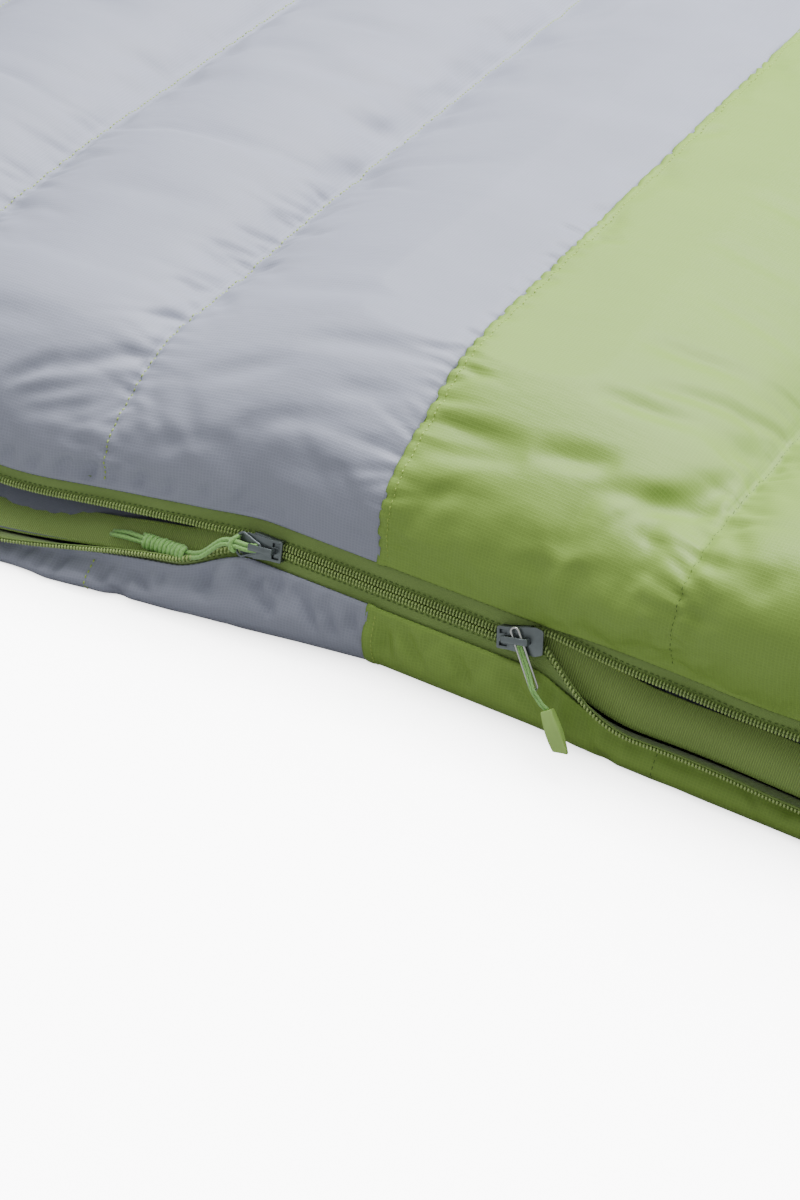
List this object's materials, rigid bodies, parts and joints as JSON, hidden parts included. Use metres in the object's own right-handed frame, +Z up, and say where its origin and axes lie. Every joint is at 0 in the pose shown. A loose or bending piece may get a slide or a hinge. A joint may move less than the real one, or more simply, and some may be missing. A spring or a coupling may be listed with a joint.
{
  "type": "camp quilt",
  "caption": "Filled quilt folded lengthwise, grey and green panels, joined along one long side by a two-way coil zipper with corded pulls, opening flat about its side seam.",
  "frame": {"origin": "middle of the folded quilt, on the surface that it lies on", "axes": "+X along the length to the green head end, +Y to the sewn side seam with the zipper at -Y, +Z up"},
  "size_m": [1.94, 0.7502, 0.128],
  "materials": {
    "shell_grey": "satin ripstop nylon, grey",
    "shell_green": "satin ripstop nylon, leaf green",
    "lining_grey": "soft woven lining, grey",
    "fill_white": "synthetic fibre batting",
    "tape_olive": "herringbone zipper tape",
    "coil_olive": "nylon coil",
    "strip_olive": "ribbed grosgrain",
    "slider_gunmetal": "grey enamelled zinc",
    "bright_steel": "bright plated wire",
    "cord_mint": "braided cord",
    "tip_mint": "soft moulded plastic"
  },
  "bodies": {
    "lower_layer": {"lower_shell_grey": "shell_grey", "lower_shell_green": "shell_green", "lower_fill": "fill_white", "lower_lining": "lining_grey", "lower_foot_hem": "shell_grey", "lower_head_hem": "shell_green", "side_seam_binding": "tape_olive", "lower_tape": "tape_olive", "lower_coil": "coil_olive", "lower_anti_snag_strip": "strip_olive", "lower_top_stop": "slider_gunmetal", "lower_foot_pin": "slider_gunmetal", "lower_film_tab": "tape_olive"},
    "upper_layer": {"upper_shell_grey": "shell_grey", "upper_shell_green": "shell_green", "upper_fill": "fill_white", "upper_lining": "lining_grey", "upper_foot_hem": "shell_grey", "upper_head_hem": "shell_green", "upper_tape": "tape_olive", "upper_coil": "coil_olive", "upper_anti_snag_strip": "strip_olive", "upper_top_stop": "slider_gunmetal", "upper_foot_pin": "slider_gunmetal", "upper_film_tab": "tape_olive"},
    "head_slider": {"head_slider_body": "slider_gunmetal", "head_slider_guard": "slider_gunmetal", "head_slider_crown": "slider_gunmetal"},
    "head_lock": {"head_slider_lock": "bright_steel"},
    "head_pull": {"head_bail": "bright_steel", "head_pull_cord": "cord_mint", "head_pull_tip": "tip_mint"},
    "foot_slider": {"foot_slider_body": "slider_gunmetal", "foot_slider_guard": "slider_gunmetal", "foot_slider_crown": "slider_gunmetal"},
    "foot_lock": {"foot_slider_lock": "bright_steel"},
    "foot_pull": {"foot_bail": "bright_steel", "foot_pull_cord": "cord_mint", "foot_pull_grip": "cord_mint", "foot_pull_tail_1": "cord_mint", "foot_pull_tail_2": "cord_mint"}
  },
  "joints": [
    {"name": "unfold", "type": "hinge", "parent": "lower_layer", "child": "upper_layer", "pos_m": [0, 0.3772, 0.064], "axis": [-1, 0, 0], "range_deg": [0, 180], "deforming": ["side_seam_binding", "lower_tape", "lower_coil", "upper_tape", "upper_coil", "lower_anti_snag_strip", "upper_anti_snag_strip", "lower_film_tab", "upper_film_tab"]},
    {"name": "head_slide", "type": "slide", "parent": "lower_layer", "child": "head_slider", "axis": [1, 0, 0], "range_m": [-0.055, 0.845], "deforming": ["lower_tape", "lower_coil", "upper_tape", "upper_coil", "lower_anti_snag_strip", "upper_anti_snag_strip", "lower_film_tab", "upper_film_tab"]},
    {"name": "foot_slide", "type": "slide", "parent": "lower_layer", "child": "foot_slider", "axis": [1, 0, 0], "range_m": [-0.865, 0.055], "deforming": ["lower_tape", "lower_coil", "upper_tape", "upper_coil", "lower_anti_snag_strip", "upper_anti_snag_strip", "lower_film_tab", "upper_film_tab", "foot_pull_cord", "foot_pull_grip", "foot_pull_tail_1", "foot_pull_tail_2"]},
    {"name": "head_bail_swing", "type": "hinge", "parent": "head_slider", "child": "head_pull", "pos_m": [0.08324, -0.34143, 0.05515], "axis": [0, -0.9135, 0.4067], "range_deg": [-52, 6]},
    {"name": "foot_bail_flip", "type": "hinge", "parent": "foot_slider", "child": "foot_pull", "pos_m": [-0.06443, -0.34295, 0.05172], "axis": [-0.1045, 0.4045, 0.9085], "range_deg": [0, 150]},
    {"name": "head_lock_lift", "type": "slide", "parent": "head_slider", "child": "head_lock", "axis": [0, -0.9135, 0.4067], "range_m": [0, 0.0008], "stiffness_N_per_m": 200, "springref_m": -0.0005},
    {"name": "foot_lock_lift", "type": "slide", "parent": "foot_slider", "child": "foot_lock", "axis": [0, -0.9135, 0.4067], "range_m": [0, 0.0008], "stiffness_N_per_m": 200, "springref_m": -0.0005}
  ]
}
